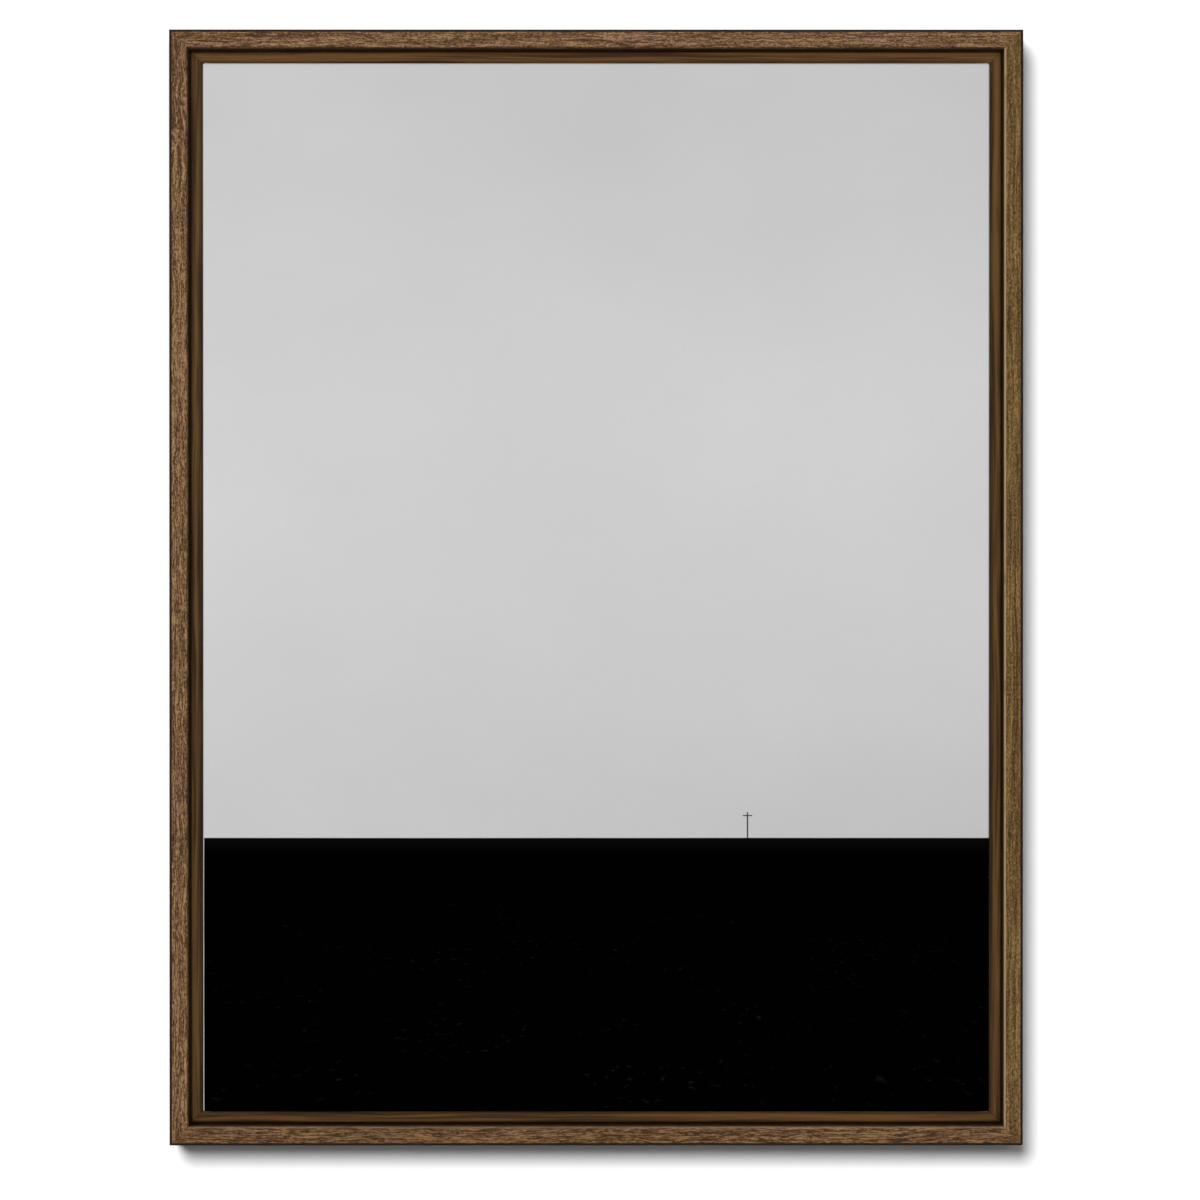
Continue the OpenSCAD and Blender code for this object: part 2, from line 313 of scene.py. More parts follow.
# walnut
walnutLook = {
    "lip": 11 * mm,
    "ease": 0.8 * mm,                    # chamfer on the lip's edges
    "ledgeDepth": 35.5 * mm,             # from the lip's face to the ledge
    "dark": (0.054, 0.027, 0.011),
    "mid": (0.145, 0.081, 0.040),
    "light": (0.310, 0.192, 0.107),
    "golden": (1.04, 1.015, 0.85),
    "red": (1.05, 0.95, 0.97),
    "pore": (0.042, 0.021, 0.010),
    "fleck": (0.36, 0.24, 0.135),
    # near-black, for the outer eased edge and for the painted shade inside the moulding
    "darkEdgeAndShade": (0.012, 0.007, 0.004),
    # a painted highlight along the inner edge
    "highlightTone": (0.42, 0.30, 0.185),
    "ledgeDark": (0.100, 0.053, 0.022),
    "ledgeMid": (0.215, 0.109, 0.040),
    "ledgeLight": (0.325, 0.170, 0.060),
    "specular": 0.06,
    "reliefStrength": 0.6,
    "relief": 0.16 * mm,
}
# each rail is its own plank; its edge keys set how much painted highlight and painted shade its inner edge
# and inner wall get
railLooks = {
    "top": {
        "seed": 3.1, "tint": (1.05, 1.01, 1.02), "warmth": 0.60, "warmFoot": 0.0,
        "grain": 0.82, "speckle": 0.7, "lean": 0.5,
        "paintedHighlight": 0.0, "shaded": 0.55, "openWall": 0.0, "ledge": (1.16, 1.10, 1.03),
    },
    "right": {
        "seed": 17.7, "tint": (0.88, 0.90, 0.62), "warmth": 0.15, "warmFoot": 0.7,
        "grain": 0.32, "speckle": 0.56, "lean": 0.7,
        "paintedHighlight": 0.80, "shaded": 0.0, "openWall": 0.66, "ledge": (1.04, 1.04, 0.98),
    },
    "bottom": {
        "seed": 29.3, "tint": (0.82, 0.76, 0.66), "warmth": 0.70, "warmFoot": 0.0,
        "grain": 1.3, "speckle": 0.5, "lean": 1.0,
        "paintedHighlight": 0.30, "shaded": 0.0, "openWall": 0.66, "ledge": (1.01, 1.00, 0.88),
    },
    "left": {
        "seed": 41.9, "tint": (1.07, 1.04, 1.03), "warmth": 0.45, "warmFoot": 0.0,
        "grain": 0.84, "speckle": 0.75, "lean": 1.5,
        "paintedHighlight": 0.0, "shaded": 0.45, "openWall": 0.0, "ledge": (0.93, 0.97, 0.95),
    },
}


def walnut(side):
    look, rail = walnutLook, railLooks[side]
    material, shader, start = startMaterial("walnut" + side.capitalize())
    x, y, z = place(start)
    level = side in ("top", "bottom")
    along, across = (x, z) if level else (z, x)
    sign = 1 if side in ("top", "right") else -1
    outer = cadHigh.z if level else cadHigh.x
    halfLength = cadHigh.x if level else cadHigh.z
    inward = outer - sign * across       # 0 on the outer face
    depth = y - lipFront                 # 0 on the lip's face
    seed = rail["seed"]

    # the grain wanders, and everything in the wood follows it
    wander = noiseAt(point(along * 9 + seed, inward * 25, depth * 25), 2) - 0.5
    ripple = noiseAt(point(along * 75 + seed, inward * 190, depth * 190), 1) - 0.5
    leaning = inward + wander * (rail["lean"] * 0.012) + ripple * (rail["lean"] * 0.0016)
    deep = depth + wander * 0.004

    band = noiseAt(point(along * 5, leaning * 420 + seed, deep * 260), 2, 0.55) - 0.5
    streak = noiseAt(point(along * 16 + seed, leaning * 900, deep * 900), 1, 0.6) - 0.5
    strand = noiseAt(point(along * 95, leaning * 1350 + seed, deep * 1350), 1, 0.6) - 0.5
    fine = noiseAt(point(along * 230 + seed, leaning * 2400, deep * 2400), 1, 0.6) - 0.5
    speckle = noiseAt(point(along * 700, leaning * 1250, deep * 1250 + seed), 0) - 0.5
    patch = noiseAt(point(along * 26 + seed, leaning * 170, deep * 170), 2) - 0.5
    tone = (0.475 + band * 0.46 + streak * 0.62 + strand * (1.05 * rail["grain"])
            + fine * (1.0 * rail["grain"]) + speckle * (0.95 * rail["speckle"]) + patch * 0.12)
    colour = tone.node("ValToRGB", {"stops": [
        (0.26, look["dark"]), (0.49, look["mid"]), (0.76, look["light"])]}, {0: tone})

    wide, narrow = 1.05 * mm, 0.85 * mm      # how far apart pores and flecks lie across the grain
    pores = cellsAt(point(along / (9 * mm) + seed, leaning / wide, deep / wide)).ramp(0.27, 0.19)
    small = cellsAt(point(along / (5.5 * mm), leaning / narrow + seed, deep / narrow)).ramp(0.29, 0.19)
    fleck = cellsAt(point(along / (8.0 * mm), leaning / narrow, deep / narrow + seed)).ramp(0.29, 0.19)
    line = (noiseAt(point(along * 4 + seed, leaning * 640, deep * 420), 1) - 0.44).near(0.006, 0.016)
    line = line * noiseAt(point(along * 17, leaning * 60, deep * 60 + seed), 1).ramp(0.50, 0.62)
    crowd = noiseAt(point(along * 34, leaning * 240 + seed, deep * 240), 1).ramp(0.36, 0.60)

    onLedge = (depth - look["ledgeDepth"]).near(0.3 * mm, 0.9 * mm)
    rough = 1 - onLedge
    poreMask = (pores * 0.52).most(small * 0.34) * (0.36 + crowd * 0.64) * (0.05 + 0.77 * rail["grain"])
    poreMask = poreMask.most(line * 0.70) * rough
    paleMask = fleck * (1 - crowd * 0.4) * (0.46 * rail["grain"]) * rough
    colour = mixColour(paleMask, colour, (*look["fleck"], 1))
    colour = mixColour(poreMask, colour, (*look["pore"], 1))

    # the ledge is planed smooth, so long straight streaks show on it
    slope = inward + wander * 0.006
    stripe = noiseAt(point(along * 9, slope * 380 + seed, depth * 300), 2, 0.6)
    thread = noiseAt(point(along * 30, slope * 1300 + seed, depth * 900), 1) - 0.5
    stripe = stripe + thread * 0.30
    planed = stripe.node("ValToRGB", {"stops": [
        (0.37, look["ledgeDark"]), (0.50, look["ledgeMid"]), (0.63, look["ledgeLight"])]}, {0: stripe})
    planed = mixColour(1.0, planed, (*rail["ledge"], 1), "MULTIPLY")
    colour = mixColour(1.0, colour, (*rail["tint"], 1), "MULTIPLY")
    colour = mixColour(onLedge * 0.93, colour, planed)

    warmth = noiseAt(point(along * 13 + seed, leaning * 150, deep * 100), 1) - along * rail["warmFoot"]
    warmth = warmth.ramp(0.64 - 0.3 * rail["warmth"], 0.84 - 0.3 * rail["warmth"])
    hue = mixColour(warmth, (*look["golden"], 1), (*look["red"], 1))
    colour = mixColour(0.85, colour, mixColour(1.0, colour, hue, "MULTIPLY"))

    # eased edges: the outer one is painted near-black; the inner edge gets a painted highlight, and the
    # inner wall and the ledge's corners get painted shade
    fromOuter = inward + depth
    fromInner = (look["lip"] - inward).most(0) + depth
    # the outer eased edge, painted near-black
    darkening = fromOuter.ramp(look["ease"] + 0.90 * mm, look["ease"] + 0.35 * mm) * depth.ramp(2 * mm, 1.2 * mm)
    # painted shade: the inner chamfer on the top and left rails, and the inner wall of every rail, less dark
    # near the front on the right and bottom rails
    shaded = fromInner.ramp(look["ease"] + 0.30 * mm, look["ease"] + 0.05 * mm) * rail["shaded"]
    wallShade = 0.72 - rail["openWall"] * depth.ramp(22 * mm, 4 * mm)
    shaded = shaded.most((inward - look["lip"]).ramp(-0.4 * mm, -0.1 * mm) * (1 - onLedge) * wallShade)
    # painted shade on the ledge, in its corners beside the lip and beside the canvas
    ledgeShade = (inward - look["lip"]).ramp(1.2 * mm, 0) * 0.45
    ledgeShade = ledgeShade.most((inward - look["lip"]).ramp(3.2 * mm, 6.8 * mm) * 0.72) * onLedge
    # painted highlight on the inner eased edge, strongest on the right and bottom rails
    paintedHighlight = fromInner.ramp(look["ease"] + 0.40 * mm, look["ease"] + 0.05 * mm)
    paintedHighlight = paintedHighlight * noiseAt(point(along * 40, inward * 40, seed), 2).ramp(0.22, 0.42)
    onFront = inward.ramp(20 * mm, 19.6 * mm) * depth.ramp(37.5 * mm, 36.8 * mm)
    colour = mixColour(shaded.most(ledgeShade) * onFront, colour, (*look["darkEdgeAndShade"], 1))
    colour = mixColour(darkening * 0.94, colour, (*look["darkEdgeAndShade"], 1))
    colour = mixColour(paintedHighlight * rail["paintedHighlight"], colour, (*look["highlightTone"], 1))
    mitre = (halfLength - abs(along) - inward).near(0.06 * mm, 0.12 * mm)
    colour = mixColour(mitre * 0.38, colour, (*look["pore"], 1))
    connect(colour, shader, "Base Color")

    connect(0.52 + fine * 0.5 + poreMask * 0.25 - paintedHighlight * 0.08, shader, "Roughness")
    height = strand * 0.5 + fine * 0.7 + speckle * 0.25 - poreMask * 0.9 - mitre * 1.0
    connect(bumpFrom(height, look["reliefStrength"], look["relief"]), shader, "Normal")
    shader.inputs["Specular IOR Level"].default_value = look["specular"]
    return material


# other woods
pineLook = {
    "early": (0.66, 0.50, 0.32),
    "late": (0.47, 0.29, 0.145),
    "knot": (0.21, 0.10, 0.045),
    "ringGap": 3.4 * mm,
    "heart": 0.075,              # how far behind the bar the tree's heart lay
    "wander": 0.006,
    "knotGapAlong": 0.21,
    "knotGapAcross": 0.07,
}


def pine(side):
    look = pineLook
    material, shader, start = startMaterial("pine" + side.capitalize())
    x, y, z = place(start)
    level = side in ("top", "bottom")
    along, across = (x, z) if level else (z, x)
    seed = 5.3 + 11.7 * sides.index(side)
    wander = noiseAt(point(along * 5 + seed, across * 14, y * 14), 2) - 0.5
    heart = look["heart"] + 0.02 * math.sin(seed)
    radius = ((across + 0.05 * math.sin(2 * seed)) ** 2 + (y + heart) ** 2) ** 0.5
    radius = radius + wander * look["wander"]
    turn = radius / look["ringGap"] + noiseAt(point(along * 3, across * 9, y * 9 + seed), 1) * 0.8
    ring = turn.sum("FRACT", turn)
    late = ring.ramp(0.45, 0.93) * ring.ramp(1.0, 0.95)
    gap = look["knotGapAcross"]
    knot = cellsAt(point(along / look["knotGapAlong"] + seed, across / gap, y / gap))
    fibre = noiseAt(point(along * 60, across * 1900 + seed, y * 1900), 3, 0.6)
    patch = noiseAt(point(along * 7 + seed, across * 30, y * 30), 2)
    colour = mixColour(late * 0.72 + fibre * 0.16 - 0.04, (*look["early"], 1), (*look["late"], 1))
    colour = mixColour(knot.ramp(0.100, 0.065) * 0.85, colour, (*look["knot"], 1))
    shade = 0.80 + patch * 0.22 + fibre * 0.14
    colour = dim(colour, shade)
    connect(colour, shader, "Base Color")
    connect(0.56 + fibre * 0.22 - late * 0.10, shader, "Roughness")
    connect(bumpFrom(fibre * 0.6 + late * 0.35, 0.45, 0.12 * mm), shader, "Normal")
    return material


beechLook = {"wood": (0.52, 0.335, 0.20), "fleck": (0.30, 0.165, 0.085), "struck": (0.36, 0.22, 0.13)}


def beech():
    look = beechLook
    material, shader, start = startMaterial("beech")
    x, y, z = place(start)
    fibre = noiseAt(point(x * 700, y * 900, z * 700), 2, 0.6)
    fleck = cellsAt(point(x / (0.9 * mm), y / (0.45 * mm), z / (0.9 * mm))).ramp(0.34, 0.14)
    band = noiseAt(point(x * 160, y * 260, z * 160), 2)
    colour = mixColour(fleck * 0.55, (*look["wood"], 1), (*look["fleck"], 1))
    colour = mixColour(band.ramp(0.42, 0.70) * 0.45, colour, (*look["struck"], 1))
    connect(colour, shader, "Base Color")
    connect(0.52 + fibre * 0.25, shader, "Roughness")
    connect(bumpFrom(fibre + fleck * -0.6, 0.5, 0.10 * mm), shader, "Normal")
    return material


# metals and rubber
metalLooks = {
    "galvanised": {
        "base": (0.52, 0.53, 0.55), "tint": (0.38, 0.39, 0.41),
        "grime": 0.35, "roughness": 0.34, "scratch": 0.5,
    },
    "zincPlate": {
        "base": (0.62, 0.60, 0.55), "tint": (0.50, 0.50, 0.52),
        "grime": 0.25, "roughness": 0.26, "scratch": 0.4,
    },
    "nickelPlate": {
        "base": (0.66, 0.63, 0.58), "tint": (0.58, 0.56, 0.52),
        "grime": 0.12, "roughness": 0.16, "scratch": 0.5,
    },
    "grimeColour": (0.16, 0.13, 0.10),
}
rubberLook = {"black": (0.030, 0.030, 0.033), "worn": (0.070, 0.068, 0.066)}


def plated(name):
    look = metalLooks[name]
    material, shader, start = startMaterial(name)
    x, y, z = place(start)
    cloud = noiseAt(point(x * 260, y * 260, z * 260), 3, 0.6)
    line = noiseAt(point(x * 900, y * 2600, z * 5200), 2, 0.7)
    speck = cellsAt(point(x / (0.7 * mm), y / (0.7 * mm), z / (0.7 * mm))).ramp(0.20, 0.06)
    colour = mixColour(cloud.ramp(0.38, 0.66), (*look["base"], 1), (*look["tint"], 1))
    colour = mixColour(speck * look["grime"], colour, (*metalLooks["grimeColour"], 1))
    shader.inputs["Metallic"].default_value = 1.0
    connect(colour, shader, "Base Color")
    scratches = line.ramp(0.45, 0.75) * 0.12
    connect(look["roughness"] + cloud * 0.16 + scratches + speck * 0.2, shader, "Roughness")
    connect(bumpFrom(line * look["scratch"] + cloud * 0.4, 0.3, 0.03 * mm), shader, "Normal")
    return material


def rubber():
    material, shader, start = startMaterial("rubber")
    x, y, z = place(start)
    cloud = noiseAt(point(x * 420, y * 420, z * 420), 3, 0.6)
    grain = noiseAt(point(x * 5200, y * 5200, z * 5200), 1)
    colour = mixColour(cloud.ramp(0.35, 0.75), (*rubberLook["black"], 1), (*rubberLook["worn"], 1))
    connect(colour, shader, "Base Color")
    connect(0.50 + cloud * 0.25, shader, "Roughness")
    connect(bumpFrom(grain, 0.35, 0.05 * mm), shader, "Normal")
    return material


# canvas cloth and print
clothLook = {
    "hem": 30.5 * mm,
    "thick": 0.45 * mm,
    "fold": 1.2 * mm,
    "foldSteps": 4,
    "cell": 10 * mm,
    "pressed": 18.4 * mm,         # the ledge holds the turned hem flat this far in
    "stapleIn": 24.5 * mm,
    "staplePitch": 55 * mm,
    "flapOver": 0.65 * mm,        # how much higher the top and bottom flaps lie where they overlap
    "cornerRise": 0.55 * mm,
    "pull": 0.05 * mm,            # how far the staples draw the face in
    "threads": 0.56 * mm,         # spacing of the yarns
    "primed": (0.66, 0.655, 0.64),
    "raw": (0.62, 0.57, 0.475),
    "rawDark": (0.43, 0.38, 0.30),
    "husk": (0.24, 0.17, 0.10),
    "stained": (0.57, 0.555, 0.53),
}
# the horizon is a share of the print's height, sky and ground are brightnesses, the rest is in metres
printLook = {
    "horizon": 0.261,
    "skyLow": 0.545,
    "skyGlow": 0.610,
    "ground": 0.0003,
    "poleAt": 0.088,
    "poleHigh": 15 * mm,
    "armHalf": 2.6 * mm,
    "armDrop": 1.8 * mm,
    "line": 0.60 * mm,
}


def weaveAt(start):      # height of a plain weave, laid out by the flat cloth
    uv = start.node("UVMap", {"uv_map": "flatCloth"})
    turns = math.pi / clothLook["threads"]
    across = uv.node("SeparateXYZ", inputs={0: uv}, output=0) * turns
    along = uv.node("SeparateXYZ", inputs={0: uv}, output=1) * turns
    slub = noiseAt(point(across * 0.07, along * 0.03, 0.0), 1)
    warp = across.sum("SINE", across)
    weft = along.sum("SINE", along)
    over = (warp * weft).ramp(-0.05, 0.05)
    warpHeight = abs(warp) * (0.55 + 0.45 * abs(weft))
    weftHeight = abs(weft) * (0.55 + 0.45 * abs(warp))
    return warpHeight * over + weftHeight * (1 - over) + slub * 0.3


def stroke(x, z, fromX, fromZ, toX, toZ, width):    # a straight line painted between two points
    runX, runZ = toX - fromX, toZ - fromZ
    length = math.hypot(runX, runZ)
    runX, runZ = runX / length, runZ / length
    offX, offZ = x - fromX, z - fromZ
    forward = offX * runX + offZ * runZ
    sideways = offX * runZ - offZ * runX
    return sideways.near(width / 2, width * 0.4) * (forward - length / 2).near(length / 2, width * 0.4)


def printedCanvas():
    look = printLook
    material, shader, start = startMaterial("printedCanvas")
    x, y, z = place(start)
    halfW, halfH = canvasHigh.x, canvasHigh.z
    share = (z + halfH) / (2 * halfH)
    horizonZ = (2 * look["horizon"] - 1) * halfH

    # sky: soft overcast, palest through the middle
    cloud = noiseAt(point(x * 3.1 + 4.2, 0.3, z * 4.3 + 1.7), 4, 0.5)
    glow = (share - 0.62).near(0.04, 0.34)
    drift = noiseAt(point(x * 9 + 2.0, 1.1, z * 17), 3, 0.55) - 0.5
    sky = look["skyLow"] + (look["skyGlow"] - look["skyLow"]) * glow
    sky = sky + (cloud - 0.5) * 0.14 + drift * 0.03
    grain = noiseAt(point(x * 1150, 0.0, z * 1150), 1) - 0.5
    sky = sky + grain * 0.055 + (x / halfW) * -0.020

    # ground: almost black, with faint stubble that closes up towards the horizon
    drop = (horizonZ - z).most(1 * mm)
    size = 0.0026 + drop * 0.034             # the stubble looks larger the nearer it is
    curl = noiseAt(point(x * 90, 7.0, z * 90), 1) * 0.0022
    stubble = noiseAt(point(x / size, 2.0, (z + curl) / (size * 0.16)), 2, 0.6).ramp(0.60, 0.74)
    shelter = noiseAt(point(x * 16, 5.0, z * 40), 2).ramp(0.42, 0.64) * drop.ramp(14 * mm, 60 * mm)
    haze = drop.ramp(10 * mm, 0)
    ground = look["ground"] + stubble * shelter * 0.0062 + haze * 0.0022
    roll = noiseAt(point(x * 7 + 3.0, 0.0, 0.0), 2) * (1.1 * mm)
    aboveGround = (z - horizonZ - roll * 0.3).ramp(-0.15 * mm, 0.25 * mm)

    # far off, one plain pole with a cross arm
    poleX, top = look["poleAt"], horizonZ + look["poleHigh"]
    arm, armZ, line = look["armHalf"], top - look["armDrop"], look["line"]
    shape = stroke(x, z, poleX, horizonZ, poleX, top, line)
    shape = shape.most(stroke(x, z, poleX - arm, armZ, poleX + arm, armZ, line * 0.8))
    inked = sky * (1 - shape * 0.9)
    tone = ground * (1 - aboveGround) + inked * aboveGround
    picture = point(tone, tone, tone)

    # the print runs on over the fold; on the left it stops a little short, leaving a thin pale strip on the
    # front that is a painted highlight
    drift = noiseAt(point(x * 25, y * 25, z * 25), 1) * (0.3 * mm)
    turned = (y - canvasLow.y + drift).ramp(1.15 * mm, 1.30 * mm)
    turned = turned.most((x - canvasLow.x - drift).ramp(0.42 * mm, 0.30 * mm))
    darkening = noiseAt(point(x * 30, y * 60, z * 30), 2)
    bare = mixColour(darkening.ramp(0.35, 0.75) * 0.35, (*clothLook["primed"], 1), (*clothLook["stained"], 1))
    colour = mixColour(turned, picture, bare)
    weave = weaveAt(start)
    shade = 0.955 + weave * 0.05
    colour = dim(colour, shade)
    connect(colour, shader, "Base Color")
    connect(0.70 + weave * 0.08 + turned * 0.12, shader, "Roughness")
    connect(bumpFrom(weave, 0.35, 0.10 * mm), shader, "Normal")
    shader.inputs["Specular IOR Level"].default_value = 0.0
    return material


def rawCanvas():
    material, shader, start = startMaterial("rawCanvas")
    x, y, z = place(start)
    weave = weaveAt(start)
    cloud = noiseAt(point(x * 16, y * 16, z * 16), 3, 0.55)
    husk = cellsAt(point(x / (5 * mm), y / (5 * mm), z / (9 * mm))).ramp(0.16, 0.05)
    # painted shade: darker in the weave's hollows
    colour = mixColour(weave.ramp(0.95, 0.35) * 0.55, (*clothLook["raw"], 1), (*clothLook["rawDark"], 1))
    colour = mixColour(husk * 0.35, colour, (*clothLook["husk"], 1))
    shade = 0.93 + cloud * 0.12
    colour = dim(colour, shade)
    connect(colour, shader, "Base Color")
    connect(0.82 + weave * 0.10, shader, "Roughness")
    connect(bumpFrom(weave + husk * 0.6, 0.6, 0.16 * mm), shader, "Normal")
    return material


print("materials described")


# mesh helpers
def addPiece(name, mesh, material, body):
    piece = bpy.data.objects.new(name, mesh)
    bpy.context.scene.collection.objects.link(piece)
    if material is not None and not mesh.materials:
        mesh.materials.append(material)
    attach(piece, body)
    return piece


def meshFrom(name, build, sharp=40):
    shape = bmesh.new()
    build(shape)
    bmesh.ops.recalc_face_normals(shape, faces=shape.faces)
    for face in shape.faces:
        face.smooth = True
    for edge in shape.edges:
        if len(edge.link_faces) == 2 and edge.calc_face_angle(0) > math.radians(sharp):
            edge.smooth = False
    mesh = bpy.data.meshes.new(name)
    shape.to_mesh(mesh)
    shape.free()
    return mesh


def joinRings(shape, rings, closed=False):      # quads between rings of vertices
    pairs = list(zip(rings, rings[1:]))
    if closed:
        pairs.append((rings[-1], rings[0]))
    for ring, following in pairs:
        count = len(ring)
        for i in range(count):
            quad = [ring[i], ring[(i + 1) % count], following[(i + 1) % count], following[i]]
            corners = list(dict.fromkeys(quad))
            if len(corners) > 2:
                shape.faces.new(corners)


def lathe(shape, profile, turns):       # the profile gives radius and height, up the axis
    rings = []
    for radius, height in profile:
        if radius < 1e-7:
            rings.append([shape.verts.new((0, 0, height))] * turns)
            continue
        angles = [2 * math.pi * i / turns for i in range(turns)]
        rings.append([shape.verts.new((radius * math.cos(a), radius * math.sin(a), height)) for a in angles])
    joinRings(shape, rings)


def sweep(shape, path, outline, closed):      # carries an outline along a path
    count = len(path)
    rings = []
    side = None
    for i, here in enumerate(path):
        before = path[(i - 1) % count] if closed or i > 0 else here
        after = path[(i + 1) % count] if closed or i < count - 1 else here
        ahead = (after - before).normalized()
        if side is None:
            side = ahead.orthogonal().normalized() if abs(ahead.y) > 0.9 else Vector((0, 1, 0))
        side = (side - ahead * side.dot(ahead)).normalized()
        up = ahead.cross(side)
        rings.append([shape.verts.new(here + side * a + up * b) for a, b in outline])
    joinRings(shape, rings, closed)
    if not closed:
        shape.faces.new(list(reversed(rings[0])))
        shape.faces.new(rings[-1])


def circleOutline(radius, count):
    return [(radius * math.cos(2 * math.pi * i / count), radius * math.sin(2 * math.pi * i / count))
            for i in range(count)]


def soften(piece, width, segments=2):      # rounds a CAD part's edges
    weld = piece.modifiers.new("weld", "WELD")
    weld.merge_threshold = 0.002 * mm
    bevel = piece.modifiers.new("softEdges", "BEVEL")
    bevel.width = width
    bevel.segments = segments
    bevel.limit_method = "ANGLE"
    bevel.angle_limit = math.radians(28)
    bevel.use_clamp_overlap = True
    normals = piece.modifiers.new("evenShade", "WEIGHTED_NORMAL")
    normals.keep_sharp = True


def dress(name, material, width=None):
    piece = nodes[name]
    piece.data.materials.clear()
    piece.data.materials.append(material)
    if width:
        soften(piece, width)


# moulding, bars and keys
for side in sides:
    dress("frame_rail_" + side, walnut(side), 0.18 * mm)
    dress("stretcher_bar_" + side, pine(side), 0.35 * mm)
beechFinish = beech()
for name in sorted(nodes):
    if name.startswith("corner_key"):
        dress(name, beechFinish, 0.25 * mm)
steelFinish = plated("galvanised")
zincFinish = plated("zincPlate")
nickelFinish = plated("nickelPlate")
rubberFinish = rubber()
for name in sorted(nodes):
    if name.startswith("v_nails"):
        dress(name, steelFinish, 0.08 * mm)
    if name.startswith("hanger_strap"):
        dress(name, nickelFinish, 0.10 * mm)
print("moulding, bars, keys and straps finished")


def smoothStep(value, low, high):
    share = min(max((value - low) / (high - low), 0), 1)
    return share * share * (3 - 2 * share)


def clothLines(low, high):       # where the cloth's mesh is cut, closer at the folds and hem
    look = clothLook
    steps, fold, hem = look["foldSteps"], look["fold"], look["hem"]
    near = [fold - fold * math.tan(math.radians(45 * (steps - k) / steps)) for k in range(steps)] + [fold]
    near += [d * mm for d in (4, 8, 12, 15.5, 17.2, 18.6, 20.2, 22.4, 24.5, 26.5, 28.5)] + [hem]
    count = round((high - low - 2 * hem) / look["cell"])
    middle = list(np.linspace(low + hem, high - hem, count + 1))[1:-1]
    return [low + d for d in near] + middle + [high - d for d in reversed(near)], near


def depthLines(low, high):
    look = clothLook
    steps, fold = look["foldSteps"], look["fold"]
    near = [fold - fold * math.tan(math.radians(45 * (steps - k) / steps)) for k in range(steps)]
    middle = list(np.linspace(low + fold, high - fold, 9))
    return [low + d for d in near] + middle + [high - d for d in reversed(near)]


